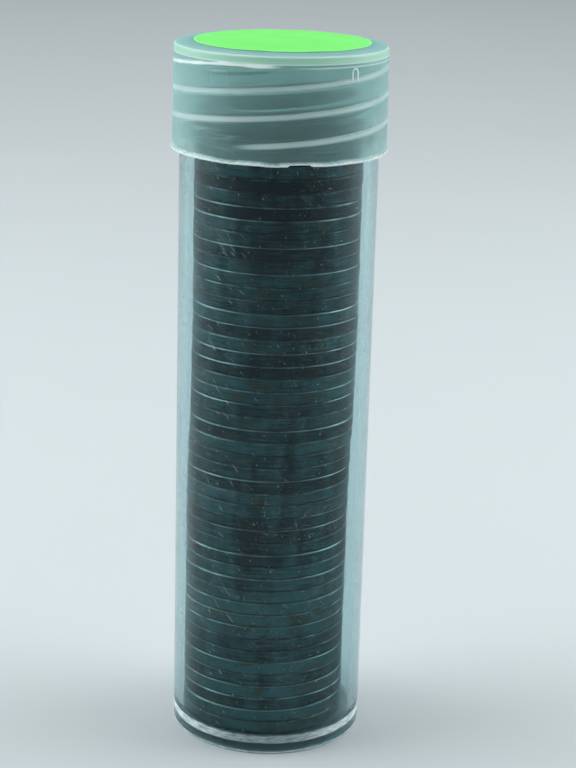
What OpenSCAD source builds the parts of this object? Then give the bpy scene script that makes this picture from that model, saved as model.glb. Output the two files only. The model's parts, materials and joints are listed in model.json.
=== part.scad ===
// Coin tube: a clear round tube with a screw neck, a translucent cap with a round
// paper label on it, and the stack of steel cents that the tube holds.
// Millimetres, +Z up. The origin is the middle of the face that the tube stands on.

/* [Coins] */
// Diameter of one coin
coin_d = 19.05; // [18:0.05:20]
// Thickness of one coin over its raised rims
coin_t = 1.49; // [1.3:0.01:1.7]
// Air left between one coin and the next
coin_gap = 0.01; // [0.01:0.01:0.05]
// Coins in the tube
coin_count = 49; // [1:1:50]
// Width of the raised rim on a coin's faces
rim_w = 0.85; // [0.5:0.05:1.5]
// Depth of a coin's field below its rim
field_drop = 0.14; // [0.05:0.01:0.25]
// Rounding of a coin's outer edges
coin_edge_r = 0.12; // [0.05:0.01:0.25]

/* [Lie of the stack] */
// How far to the left the lowest coins lie
lean_low = 0.45; // [0:0.01:0.5]
// How far to the left the highest coins lie
lean_high = 0; // [0:0.01:0.5]
// How far a coin strays from the lean of the stack
stray = 0.05; // [0:0.01:0.08]
// Which way each coin strays
stray_seed = 7; // [1:1:99]

/* [Tube] */
// Coins that the tube is made for
capacity = 50; // [50:1:60]
// Gap all round between a centred coin and the bore
side_play = 0.625; // [0.6:0.025:0.9]
// Wall of the tube
wall_t = 1.1; // [0.95:0.05:1.5]
// Floor of the tube, from the face it stands on to the coins
floor_t = 2; // [1.7:0.05:3]
// Free height above a full stack
head_room = 3.63; // [1:0.01:6]
// Rounding of the lower outer edge
base_edge_r = 0.2; // [0.1:0.05:0.6]
// Depth of the hollow in the underside
foot_recess = 1; // [0.5:0.05:1.4]
// Width of the ring that the tube stands on
foot_w = 1.05; // [0.8:0.05:3]

/* [Neck] */
// Height of the neck that the cap covers
neck_h = 10.9; // [8:0.1:16]
// How much smaller in radius the neck is than the tube
neck_step = 0.5; // [0.3:0.05:0.7]
// Rounding of the mouth
mouth_r = 0.22; // [0.1:0.01:0.25]

/* [Cap] */
// Wall of the cap's skirt
skirt_t = 0.7; // [0.5:0.05:1.2]
// Gap between the neck and the skirt's inner wall, which the screw threads fill
thread_room = 0.5; // [0.4:0.05:0.9]
// Top panel of the cap
panel_t = 0.9; // [0.6:0.05:1.5]
// How much wider in radius the skirt is at its lip than at its top
skirt_draft = 0.17; // [0:0.01:0.4]
// Rounding of the cap's top edge
cap_edge_r = 0.4; // [0.1:0.05:0.6]
// How far the rolled lip stands out from the skirt
lip_out = 0.08; // [0.02:0.01:0.3]
// Height of the rolled lip
lip_h = 0.5; // [0.3:0.05:1]
// Gap between the cap and what it seats on
seat_gap = 0.05; // [0.02:0.01:0.2]

/* [Chip in the lip] */
// Width of the chip
chip_w = 2.5; // [0.5:0.1:4]
// Height of the chip
chip_h = 0.22; // [0.1:0.01:0.4]
// Direction of the chip round the cap, in degrees from +X
chip_angle = -78; // [-180:1:180]

/* [Label] */
// Diameter of the round paper label
label_d = 19.8; // [12:0.1:20]
// Thickness of the label
label_t = 0.12; // [0.05:0.01:0.3]
// How far the label sits to the right of the middle
label_right = 0.12; // [-0.5:0.01:0.5]
// How far the label sits behind the middle
label_back = 1.3; // [-1.4:0.1:1.4]

/* [Hidden] */
// One of two digits, so that the names sort in the order of the stack
function coin_name(i) = str("coin_", i < 10 ? "0" : "", i);

$fn = 96;

coin_r = coin_d / 2;
coin_pitch = coin_t + coin_gap;
bore_r = coin_r + side_play;
tube_r = bore_r + wall_t;

// The tube's heights, from the face it stands on
stack_z = floor_t + coin_gap;
mouth_z = stack_z + capacity * coin_pitch + head_room;
shoulder_z = mouth_z - neck_h;
neck_r = tube_r - neck_step;

// The bore's lower corner is rounded less than a coin's edge, so that a coin can lie against the wall
corner_r = coin_edge_r;
// Size of the gate mark in the underside, from the hollow that holds it
gate_r = foot_w / 2;
gate_h = foot_recess / 4;
recess_r = tube_r - base_edge_r - foot_w;
// The hollow's wall leans in as it goes up, by this share of its depth
recess_draft = 0.1;

// The cap's heights and radii at its top panel and at its lip
lip_z = shoulder_z + seat_gap;
panel_z = mouth_z + seat_gap;
cap_z = panel_z + panel_t;
skirt_in_r = neck_r + thread_room;
lip_in_r = skirt_in_r + skirt_draft;
skirt_r = skirt_in_r + skirt_t;
lip_r = lip_in_r + skirt_t + lip_out;

// How far cuts run past what they cut
overrun = 0.5;

// Steps in a quarter circle of an outline
quarter_steps = 8;

// Points on a quarter circle of radius r round [x, y], from angle a to angle a + turn
function quarter(x, y, r, a, turn) =
    [for (k = [0:quarter_steps]) [x + r * cos(a + turn * k / quarter_steps),
                                  y + r * sin(a + turn * k / quarter_steps)]];

// Smooth step from 0 to 1
function ease(t) = t * t * (3 - 2 * t);
function clamp01(t) = min(1, max(0, t));

// The stack stands against the left wall low down and drifts to the middle above these shares of it
drift_from_share = 0.30;
drift_to_share = 0.60;
function lean(i) = let (share = (i - 1) / capacity)
    -lean_low + (lean_low - lean_high)
        * ease(clamp01((share - drift_from_share) / (drift_to_share - drift_from_share)));
stray_x = rands(-stray, stray, capacity, stray_seed);
stray_y = rands(-stray, stray, capacity, stray_seed + 1);

// Outline of the tube from its axis outwards, with the bore open at the top
module tube_outline() {
    polygon(concat(
        [[0, foot_recess - gate_h], [gate_r, foot_recess - gate_h], [gate_r, foot_recess],
         [recess_r - foot_recess * recess_draft, foot_recess], [recess_r, 0]],
        quarter(tube_r - base_edge_r, base_edge_r, base_edge_r, -90, 90),
        [[tube_r, shoulder_z], [neck_r, shoulder_z]],
        quarter(neck_r - mouth_r, mouth_z - mouth_r, mouth_r, 0, 90),
        quarter(bore_r + mouth_r, mouth_z - mouth_r, mouth_r, 90, 90),
        quarter(bore_r - corner_r, floor_t + corner_r, corner_r, 0, -90),
        [[0, floor_t]]));
}

module tube_body() {
    color([0.80, 0.93, 0.97, 0.35]) rotate_extrude() tube_outline();
}

// Outline of the cap from its axis outwards: panel, drafted skirt and rolled lip
module cap_outline() {
    polygon(concat(
        [[0, panel_z], [skirt_in_r, panel_z], [lip_in_r, lip_z]],
        [[lip_r - lip_out, lip_z]],
        quarter(lip_r - lip_out, lip_z + lip_out, lip_out, -90, 90),
        [[lip_r, lip_z + lip_h / 2], [lip_r - lip_out, lip_z + lip_h]],
        quarter(skirt_r - cap_edge_r, cap_z - cap_edge_r, cap_edge_r, 0, 90),
        [[0, cap_z]]));
}

// The piece broken out of the lip's lower edge
module lip_chip() {
    rotate(chip_angle)
        translate([lip_in_r - overrun, -chip_w / 2, lip_z - overrun])
            cube([lip_r - lip_in_r + 2 * overrun, chip_w, chip_h + overrun]);
}

module screw_cap() {
    color([0.78, 0.86, 0.85, 0.7]) difference() {
        rotate_extrude() cap_outline();
        lip_chip();
    }
}

module cap_label() {
    color([0.36, 0.95, 0.35])
        translate([label_right, label_back, cap_z])
            cylinder(h = label_t, d = label_d);
}

// Half outline of a coin: flat fields, sloped inner shoulders, raised rims and rounded edges
module coin_outline() {
    field_r = coin_r - rim_w;
    polygon(concat(
        [[0, field_drop], [field_r - field_drop, field_drop], [field_r, 0]],
        quarter(coin_r - coin_edge_r, coin_edge_r, coin_edge_r, -90, 90),
        quarter(coin_r - coin_edge_r, coin_t - coin_edge_r, coin_edge_r, 0, 90),
        [[field_r, coin_t], [field_r - field_drop, coin_t - field_drop], [0, coin_t - field_drop]]));
}

// Coin i of the stack, counted from the floor
module coin(i) {
    color([0.36, 0.40, 0.41])
        translate([lean(i) + stray_x[i - 1], stray_y[i - 1], stack_z + (i - 1) * coin_pitch])
            rotate_extrude() coin_outline();
}

tube_body();
screw_cap();
cap_label();
for (i = [1:coin_count])
    coin(i);
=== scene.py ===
"""Looks of the coin tube: a clear moulded tube of toned steel cents under a milky screw cap.

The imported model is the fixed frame. Each class below holds the sizes of one sub-assembly in
millimetres, builds its meshes in the same frame and dresses them. The scene's own unit is the
metre, so a mesh is scaled by MM as it is made.
"""

import json
import logging
import math
import random
from collections.abc import Callable, Iterable
from dataclasses import dataclass
from enum import Enum

import bmesh
import bpy
from mathutils import Matrix, Vector

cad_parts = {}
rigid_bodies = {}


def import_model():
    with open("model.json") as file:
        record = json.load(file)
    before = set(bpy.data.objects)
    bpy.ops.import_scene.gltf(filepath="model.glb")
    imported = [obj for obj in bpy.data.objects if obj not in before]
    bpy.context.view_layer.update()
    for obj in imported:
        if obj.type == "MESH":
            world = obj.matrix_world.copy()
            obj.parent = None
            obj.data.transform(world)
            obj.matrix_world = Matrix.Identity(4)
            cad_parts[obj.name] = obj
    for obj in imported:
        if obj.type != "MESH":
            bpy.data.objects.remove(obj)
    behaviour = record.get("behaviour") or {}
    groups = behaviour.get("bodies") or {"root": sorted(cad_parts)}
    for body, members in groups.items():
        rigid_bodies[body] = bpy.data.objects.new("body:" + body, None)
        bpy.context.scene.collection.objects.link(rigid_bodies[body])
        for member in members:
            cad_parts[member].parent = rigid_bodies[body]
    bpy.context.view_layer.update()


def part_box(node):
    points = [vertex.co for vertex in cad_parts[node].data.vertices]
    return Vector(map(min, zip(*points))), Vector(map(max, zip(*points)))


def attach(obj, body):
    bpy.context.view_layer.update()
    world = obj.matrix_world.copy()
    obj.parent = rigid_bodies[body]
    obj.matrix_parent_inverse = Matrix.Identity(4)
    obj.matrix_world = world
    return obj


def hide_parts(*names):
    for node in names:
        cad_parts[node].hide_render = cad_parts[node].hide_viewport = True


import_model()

log = logging.getLogger("coin_tube")

MM = 0.001
ON_AXIS = 1e-6
Point = tuple[float, float]
Colour = tuple[float, float, float]


class Body(Enum):
    """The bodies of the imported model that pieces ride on."""

    TUBE = "tube"
    LOWEST_COIN = "bottom_coin"
    CAP = "cap"
    COINS = "coin_stack"


class Slot(Enum):
    """The record's material slots."""

    CLEAR_TUBE = "clear_tube"
    CAP_PLASTIC = "cap_plastic"
    LABEL_PAPER = "label_paper"
    COIN_METAL = "coin_metal"


class Wall(Enum):
    """Which way a screw thread stands out from its wall."""

    OUTWARDS = 1.0
    INWARDS = -1.0


def operator(operation: str, mirrored: bool = False) -> Callable[["Number", "Number | float"], "Number"]:
    """Makes an arithmetic operator out of a Math node's operation.

    Args:
        operation: The node's operation.
        mirrored: Whether the other value stands first.

    Returns:
        The method.
    """

    def applied(self: "Number", other: "Number | float") -> "Number":
        """The operation on this and the other value."""
        return self.math(operation, *((other, self) if mirrored else (self, other)))

    return applied


class Number:
    """One number in a node tree. Arithmetic on it adds Math nodes."""

    __add__ = operator("ADD")
    __radd__ = operator("ADD", mirrored=True)
    __sub__ = operator("SUBTRACT")
    __rsub__ = operator("SUBTRACT", mirrored=True)
    __mul__ = operator("MULTIPLY")
    __rmul__ = operator("MULTIPLY", mirrored=True)
    __truediv__ = operator("DIVIDE")
    __pow__ = operator("POWER")

    def __init__(self, tree: "Tree", socket: bpy.types.NodeSocket) -> None:
        """Wraps a socket of the tree."""
        self.tree = tree
        self.socket = socket

    def math(self, operation: str, *values: "Number | float") -> "Number":
        """Adds a Math node with these values in its sockets, in order, and gives its result."""
        made = self.tree.node("ShaderNodeMath", {"operation": operation}, dict(enumerate(values)))
        return Number(self.tree, made.outputs[0])

    def __abs__(self) -> "Number":
        """The size without its sign."""
        return self.math("ABSOLUTE", self)

    def rounded(self) -> "Number":
        """The nearest whole number."""
        return self.math("ROUND", self)

    def fraction(self) -> "Number":
        """What is left of it past the last whole number."""
        return self.math("FRACT", self)

    def at_least(self, low: "Number | float") -> "Number":
        """The larger of this and low."""
        return self.math("MAXIMUM", self, low)

    def at_most(self, high: "Number | float") -> "Number":
        """The smaller of this and high."""
        return self.math("MINIMUM", self, high)

    def eased(self, low: float, high: float) -> "Number":
        """Rises smoothly from 0 at low to 1 at high, and falls where low is the larger.

        Args:
            low: Where the rise starts.
            high: Where it ends.

        Returns:
            The eased share.
        """
        if low > high:
            return 1 - self.eased(high, low)
        made = self.tree.node(
            "ShaderNodeMapRange",
            {"interpolation_type": "SMOOTHSTEP"},
            {"Value": self, "From Min": low, "From Max": high},
        )
        return Number(self.tree, made.outputs[0])


class Tree:
    """A node tree that this script fills, for a material or for geometry."""

    def __init__(self, nodes: bpy.types.NodeTree) -> None:
        """Wraps an empty node tree."""
        self.nodes = nodes

    @classmethod
    def for_material(cls, name: str) -> tuple[bpy.types.Material, "Tree"]:
        """Makes a material with an empty tree.

        Args:
            name: The material's name.

        Returns:
            The material and its tree.
        """
        material = bpy.data.materials.new(name)
        material.use_nodes = True
        material.node_tree.nodes.clear()
        return material, cls(material.node_tree)

    def node(self, kind: str, settings: dict | None = None, sockets: dict | None = None) -> bpy.types.Node:
        """Adds any node.

        Args:
            kind: The node's type.
            settings: Its settings, which are set first.
            sockets: Values or links for its inputs, by name or by number.

        Returns:
            The node.
        """
        made = self.nodes.nodes.new(kind)
        for name, value in (settings or {}).items():
            setattr(made, name, value)
        for key, value in (sockets or {}).items():
            self._feed(self.pick(made.inputs, key), value)
        return made

    def number(self, kind: str, settings: dict, sockets: dict, key: str | int = 0) -> Number:
        """Adds a node, as node does, and wraps the output of that name or number."""
        return Number(self, self.pick(self.node(kind, settings, sockets).outputs, key))

    def shader(self, kind: str, sockets: dict) -> bpy.types.NodeSocket:
        """Adds a shader of a kind and gives its output."""
        return self.node(f"ShaderNodeBsdf{kind}", {}, sockets).outputs[0]

    def blend(
        self, share: Number | float, first: bpy.types.NodeSocket, second: bpy.types.NodeSocket
    ) -> bpy.types.NodeSocket:
        """A shader between two others, all of the second at share 1."""
        return self.node("ShaderNodeMixShader", {}, {0: share, 1: first, 2: second}).outputs[0]

    def lit_through(self, seen: bpy.types.NodeSocket, passed: bpy.types.NodeSocket) -> bpy.types.NodeSocket:
        """A shader that is one thing to the eye and another to the lamps' rays."""
        return self.blend(self.number("ShaderNodeLightPath", {}, {}, "Is Shadow Ray"), seen, passed)

    def attribute(self, name: str) -> Number:
        """A number that the mesh carries for each point."""
        return self.number("ShaderNodeAttribute", {"attribute_name": name}, {}, "Fac")

    def mixed(self, share: Number | float, first: object, second: object) -> bpy.types.NodeSocket:
        """A colour between two others, all of the second at share 1."""
        made = self.node("ShaderNodeMix", {"data_type": "RGBA"}, {"Factor": share, "A": first, "B": second})
        return self.pick(made.outputs, "Result")

    def millimetres(
        self, stretch: Colour = (1.0, 1.0, 1.0), turn: Colour = (0.0, 0.0, 0.0)
    ) -> bpy.types.NodeSocket:
        """The piece's own coordinates in millimetres, turned and then stretched.

        Args:
            stretch: Factors along the three axes after the turn.
            turn: Degrees about the three axes.

        Returns:
            The vector.
        """
        place = self.node("ShaderNodeTexCoord").outputs["Object"]
        turned = self.node(
            "ShaderNodeMapping",
            {"vector_type": "POINT"},
            {"Vector": place, "Rotation": tuple(math.radians(x) for x in turn)},
        ).outputs[0]
        scaled = self.node(
            "ShaderNodeVectorMath",
            {"operation": "MULTIPLY"},
            {0: turned, 1: tuple(x / MM for x in stretch)},
        )
        return scaled.outputs[0]

    def noise(self, place: bpy.types.NodeSocket, scale: float, detail: float, rough: float) -> Number:
        """Cloudy noise around 0.5.

        Args:
            place: Where it is read.
            scale: Clouds to a millimetre.
            detail: How many finer layers there are.
            rough: How strong these are.

        Returns:
            The noise.
        """
        return self.number(
            "ShaderNodeTexNoise",
            {"noise_dimensions": "3D"},
            {"Vector": place, "Scale": scale, "Detail": detail, "Roughness": rough},
            "Fac",
        )

    def bump(self, height: Number, strength: float = 1.0) -> bpy.types.NodeSocket:
        """A normal from a height in millimetres, and how much of it shows."""
        made = self.node("ShaderNodeBump", {}, {"Height": height, "Distance": MM, "Strength": strength})
        return made.outputs[0]

    def surface(self, shader: bpy.types.NodeSocket, inside: bpy.types.NodeSocket | None = None) -> None:
        """Links a shader, and one for the inside if there is one, to the material's output."""
        ends = {"Surface": shader} | ({"Volume": inside} if inside else {})
        self.node("ShaderNodeOutputMaterial", {}, ends)

    @staticmethod
    def pick(sockets: Iterable[bpy.types.NodeSocket], key: str | int) -> bpy.types.NodeSocket:
        """Finds a socket in use.

        Args:
            sockets: A node's inputs or outputs.
            key: The socket's name or number.

        Returns:
            The socket.
        """
        if isinstance(key, int):
            return sockets[key]
        return next(s for s in sockets if s.enabled and s.name == key)

    def _feed(self, socket: bpy.types.NodeSocket, value: object) -> None:
        """Links or sets one input.

        Args:
            socket: The input.
            value: A value, a number or a socket.
        """
        if isinstance(value, Number):
            value = value.socket
        if isinstance(value, bpy.types.NodeSocket):
            self.nodes.links.new(value, socket)
        elif socket.type == "RGBA" and len(value) == 3:
            socket.default_value = (*value, 1.0)
        else:
            socket.default_value = value


class GeometryTree(Tree):
    """A geometry tree with named inputs, made plain mesh once it has run."""

    def __init__(self, name: str, inputs: dict[str, str]) -> None:
        """Makes the tree.

        Args:
            name: The tree's name.
            inputs: The kind of socket by the input's name, after the geometry.
        """
        group = bpy.data.node_groups.new(name, "GeometryNodeTree")
        super().__init__(group)
        group.interface.new_socket(name="Geometry", in_out="INPUT", socket_type="NodeSocketGeometry")
        for label, kind in inputs.items():
            group.interface.new_socket(name=label, in_out="INPUT", socket_type=kind)
        group.interface.new_socket(name="Geometry", in_out="OUTPUT", socket_type="NodeSocketGeometry")
        self.entry = self.node("NodeGroupInput")

    def given(self, label: str) -> Number:
        """A named input of the tree, as a number."""
        return Number(self, self.pick(self.entry.outputs, label))

    def carried(self, name: str) -> Number:
        """A number that each point carries."""
        kind = "GeometryNodeInputNamedAttribute"
        return self.number(kind, {"data_type": "FLOAT"}, {"Name": name}, "Attribute")

    def chance(self, kind: str, low: float, high: Number | float, seed: Number) -> Number:
        """A random number for each point, FLOAT or INT."""
        sockets = {"Min": low, "Max": high, "Seed": seed}
        return self.number("FunctionNodeRandomValue", {"data_type": kind}, sockets, "Value")

    def store(
        self, geometry: bpy.types.NodeSocket, name: str, value: Number, domain: str
    ) -> bpy.types.NodeSocket:
        """Stores a number for each point or instance.

        Args:
            geometry: What carries it.
            name: The name that it is stored under.
            value: The number.
            domain: POINT or INSTANCE.

        Returns:
            The geometry with the number.
        """
        settings = {"data_type": "FLOAT", "domain": domain}
        sockets = {"Geometry": geometry, "Name": name, "Value": value}
        return self.node("GeometryNodeStoreNamedAttribute", settings, sockets).outputs[0]

    def end(self, geometry: bpy.types.NodeSocket) -> None:
        """Realizes, gives the material and ends the tree.

        Args:
            geometry: What the tree has made.
        """
        real = self.node("GeometryNodeRealizeInstances", {}, {"Geometry": geometry})
        dressed = self.node(
            "GeometryNodeSetMaterial",
            {},
            {"Geometry": real.outputs[0], "Material": self.pick(self.entry.outputs, "Material")},
        )
        self.node("NodeGroupOutput", {}, {"Geometry": dressed.outputs[0]})

    def applied(self, piece: bpy.types.Object, values: dict[str, object]) -> bpy.types.Object:
        """Runs the tree on a piece and keeps the result as its plain mesh.

        Args:
            piece: The object whose mesh goes in.
            values: The inputs by name.

        Returns:
            The piece with its new mesh.
        """
        modifier = piece.modifiers.new(self.nodes.name, "NODES")
        modifier.node_group = self.nodes
        for item in self.nodes.interface.items_tree:
            if item.in_out == "INPUT" and item.name in values:
                modifier[item.identifier] = values[item.name]
        piece.update_tag()
        graph = bpy.context.evaluated_depsgraph_get()
        ready = piece.evaluated_get(graph)
        result = bpy.data.meshes.new_from_object(ready, preserve_all_data_layers=True, depsgraph=graph)
        piece.modifiers.remove(modifier)
        result.materials.clear()
        result.materials.append(values["Material"])
        result.polygons.foreach_set("material_index", [0] * len(result.polygons))
        old = piece.data
        piece.data = result
        bpy.data.meshes.remove(old)
        result.name = piece.name
        return piece


def arc(centre: Point, radius: float, start: float, turn: float, steps: int = 6) -> list[Point]:
    """Points on an arc, both ends included.

    Args:
        centre: Its centre.
        radius: Its radius.
        start: The angle at which it starts, in degrees.
        turn: How far it turns.
        steps: How many chords it has.

    Returns:
        The points.
    """
    angles = [math.radians(start + turn * k / steps) for k in range(steps + 1)]
    return [(centre[0] + radius * math.cos(a), centre[1] + radius * math.sin(a)) for a in angles]


def run(start: Point, end: Point, step: float) -> list[Point]:
    """Evenly spaced points on a straight line, both ends included.

    Args:
        start: The first point.
        end: The last point.
        step: The largest distance between two of them.

    Returns:
        The points.
    """
    count = max(1, math.ceil(math.dist(start, end) / step))
    return [
        (start[0] + (end[0] - start[0]) * k / count, start[1] + (end[1] - start[1]) * k / count)
        for k in range(count + 1)
    ]


def shown(name: str, data: bpy.types.ID) -> bpy.types.Object:
    """Puts a mesh, a lamp or a camera in the scene.

    Args:
        name: The object's name.
        data: What it shows.

    Returns:
        The object, at the origin.
    """
    made = bpy.data.objects.new(name, data)
    bpy.context.scene.collection.objects.link(made)
    return made


def turned_mesh(name: str, outline: list[Point], segments: int, crease: float = 35.0) -> bpy.types.Mesh:
    """Turns a closed outline round the Z axis.

    Args:
        name: The mesh's name.
        outline: Radii and heights in millimetres. Points on the axis become poles.
        segments: How many steps the turn has.
        crease: Edges sharper than this many degrees stay sharp.

    Returns:
        The mesh, with its faces outwards.
    """
    rings: list[list[int]] = []
    places: list[tuple[float, float, float]] = []
    for radius, height in outline:
        if radius < ON_AXIS:
            rings.append([len(places)] * segments)
            places.append((0.0, 0.0, height * MM))
            continue
        rings.append(list(range(len(places), len(places) + segments)))
        for k in range(segments):
            angle = 2 * math.pi * k / segments
            places.append((radius * math.cos(angle) * MM, radius * math.sin(angle) * MM, height * MM))
    faces = []
    for low, high in zip(rings, rings[1:] + rings[:1]):
        for k in range(segments):
            corners = [low[k], low[(k + 1) % segments], high[(k + 1) % segments], high[k]]
            unique = list(dict.fromkeys(corners))
            if len(unique) > 2:
                faces.append(unique)
    mesh = bpy.data.meshes.new(name)
    mesh.from_pydata(places, [], faces)
    face_outwards(mesh, crease)
    return mesh


def face_outwards(mesh: bpy.types.Mesh, crease: float) -> None:
    """Points a mesh's faces outwards and smooths all but its sharp edges.

    Args:
        mesh: The mesh.
        crease: Edges sharper than this many degrees stay sharp.
    """
    work = bmesh.new()
    work.from_mesh(mesh)
    bmesh.ops.recalc_face_normals(work, faces=work.faces)
    work.to_mesh(mesh)
    work.free()
    mesh.shade_smooth()
    mesh.set_sharp_from_angle(angle=math.radians(crease))


def reshape(mesh: bpy.types.Mesh, rule: Callable[[Vector], Vector]) -> None:
    """Moves each vertex of a mesh by a rule on its place in millimetres.

    Args:
        mesh: The mesh.
        rule: Gives the new place.
    """
    for vertex in mesh.vertices:
        vertex.co = rule(vertex.co / MM) * MM
    mesh.update()


def mark(mesh: bpy.types.Mesh, name: str, rule: Callable[[Vector], float]) -> None:
    """Stores a number for each vertex.

    Args:
        mesh: The mesh.
        name: The attribute's name.
        rule: Gives the number from the vertex's place in millimetres.
    """
    layer = mesh.attributes.new(name, "FLOAT", "POINT")
    layer.data.foreach_set("value", [rule(v.co / MM) for v in mesh.vertices])


def heading(place: Vector) -> float:
    """The direction of a place round the axis, in degrees."""
    return math.degrees(math.atan2(place.y, place.x))


def eased(value: float, low: float, high: float) -> float:
    """Rises smoothly from 0 at low to 1 at high."""
    share = min(1.0, max(0.0, (value - low) / (high - low)))
    return share * share * (3 - 2 * share)


@dataclass(frozen=True)
class Pattern:
    """Noise over a piece, turned and then stretched, and cut into patches where it has a span."""

    stretch: Colour = (1.0, 1.0, 1.0)
    turn: Colour = (0.0, 0.0, 0.0)
    scale: float = 1.0
    detail: float = 2.0
    rough: float = 0.5
    span: Point | None = None

    def on(self, tree: Tree) -> Number:
        """The pattern in a material's tree."""
        noise = tree.noise(tree.millimetres(self.stretch, self.turn), self.scale, self.detail, self.rough)
        return noise.eased(*self.span) if self.span else noise


@dataclass(frozen=True)
class ClearStyrene:
    """Clear moulded plastic with handling scuffs, a slight ripple and a painted glow on the band where the
    floor plate shows.
    """

    tint: Colour = (0.90, 0.955, 0.96)
    shade: Colour = (0.86, 0.92, 0.925)
    foot_shade: Colour = (0.08, 0.13, 0.14)
    absorbed: Colour = (0.34, 0.62, 0.65)
    density: float = 340.0
    gloss: Colour = (0.30, 0.34, 0.36)
    # White haze of scuffs, also the painted glow on the floor plate's band.
    haze_and_plate_glow: Colour = (0.80, 0.93, 0.94)
    refraction: float = 1.56
    ripple: float = 0.006
    waves: Pattern = Pattern((1.0, 1.0, 0.55), scale=0.35, detail=1.0)
    rubs: Pattern = Pattern((3.2, 3.2, 0.10), detail=3.0, span=(0.60, 0.72))
    rings: Pattern = Pattern((0.10, 0.10, 4.0), detail=3.0, span=(0.63, 0.74))
    slants: Pattern = Pattern((5.0, 5.0, 0.16), (24.0, 31.0, 0.0), span=(0.62, 0.71))
    hatches: Pattern = Pattern((4.0, 4.0, 0.5), (0.0, 52.0, 20.0), span=(0.69, 0.74))
    patches: Pattern = Pattern(scale=0.11, span=(0.42, 0.68))
    cuts: Pattern = Pattern((6.0, 6.0, 0.45), (20.0, 38.0, 10.0), detail=1.0, span=(0.73, 0.77))
    specks: Pattern = Pattern(scale=2.6, detail=1.0, span=(0.79, 0.82))
    streaks: Pattern = Pattern((0.9, 0.9, 5.0), detail=3.0, span=(0.35, 0.60))

    def build(self) -> bpy.types.Material:
        """Makes the material.

        Returns:
            The material.
        """
        material, tree = Tree.for_material("clear_styrene")
        patches = self.patches.on(tree)
        slants = self.slants.on(tree)
        specks = self.specks.on(tree)
        scuffs = 0.4 * self.rubs.on(tree) + 0.5 * self.rings.on(tree) + slants + self.hatches.on(tree)
        scuffs = scuffs * patches
        normal = tree.bump(self.ripple * self.waves.on(tree) + 0.0012 * scuffs + 0.002 * specks)
        glass = tree.shader(
            "Principled",
            {
                "Base Color": self.tint,
                "Roughness": 0.015 + 0.10 * scuffs + 0.30 * specks + 0.03 * patches,
                "IOR": self.refraction,
                "Transmission Weight": 1.0,
                "Specular Tint": self.gloss,
                "Normal": normal,
            },
        )
        worn = tree.shader("Principled", {"Base Color": self.haze_and_plate_glow, "Roughness": 0.55, "Normal": normal})
        # Scuffs at the foot's edge, and the streaked painted glow on the floor plate's band.
        foot = tree.attribute("scuffed") * (0.52 + 0.48 * self.streaks.on(tree))
        pale = (0.35 * self.cuts.on(tree) + 0.22 * slants * patches + 0.04 * specks + foot).at_most(0.9)
        open_wall = tree.shader("Transparent", {"Color": self.shade})
        thick_foot = tree.shader("Transparent", {"Color": self.foot_shade})
        shade = tree.blend(tree.attribute("foot"), open_wall, thick_foot)
        absorption = {"Color": self.absorbed, "Density": self.density}
        inside = tree.node("ShaderNodeVolumeAbsorption", {}, absorption).outputs[0]
        tree.surface(tree.lit_through(tree.blend(pale, glass, worn), shade), inside)
        return material


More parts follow.
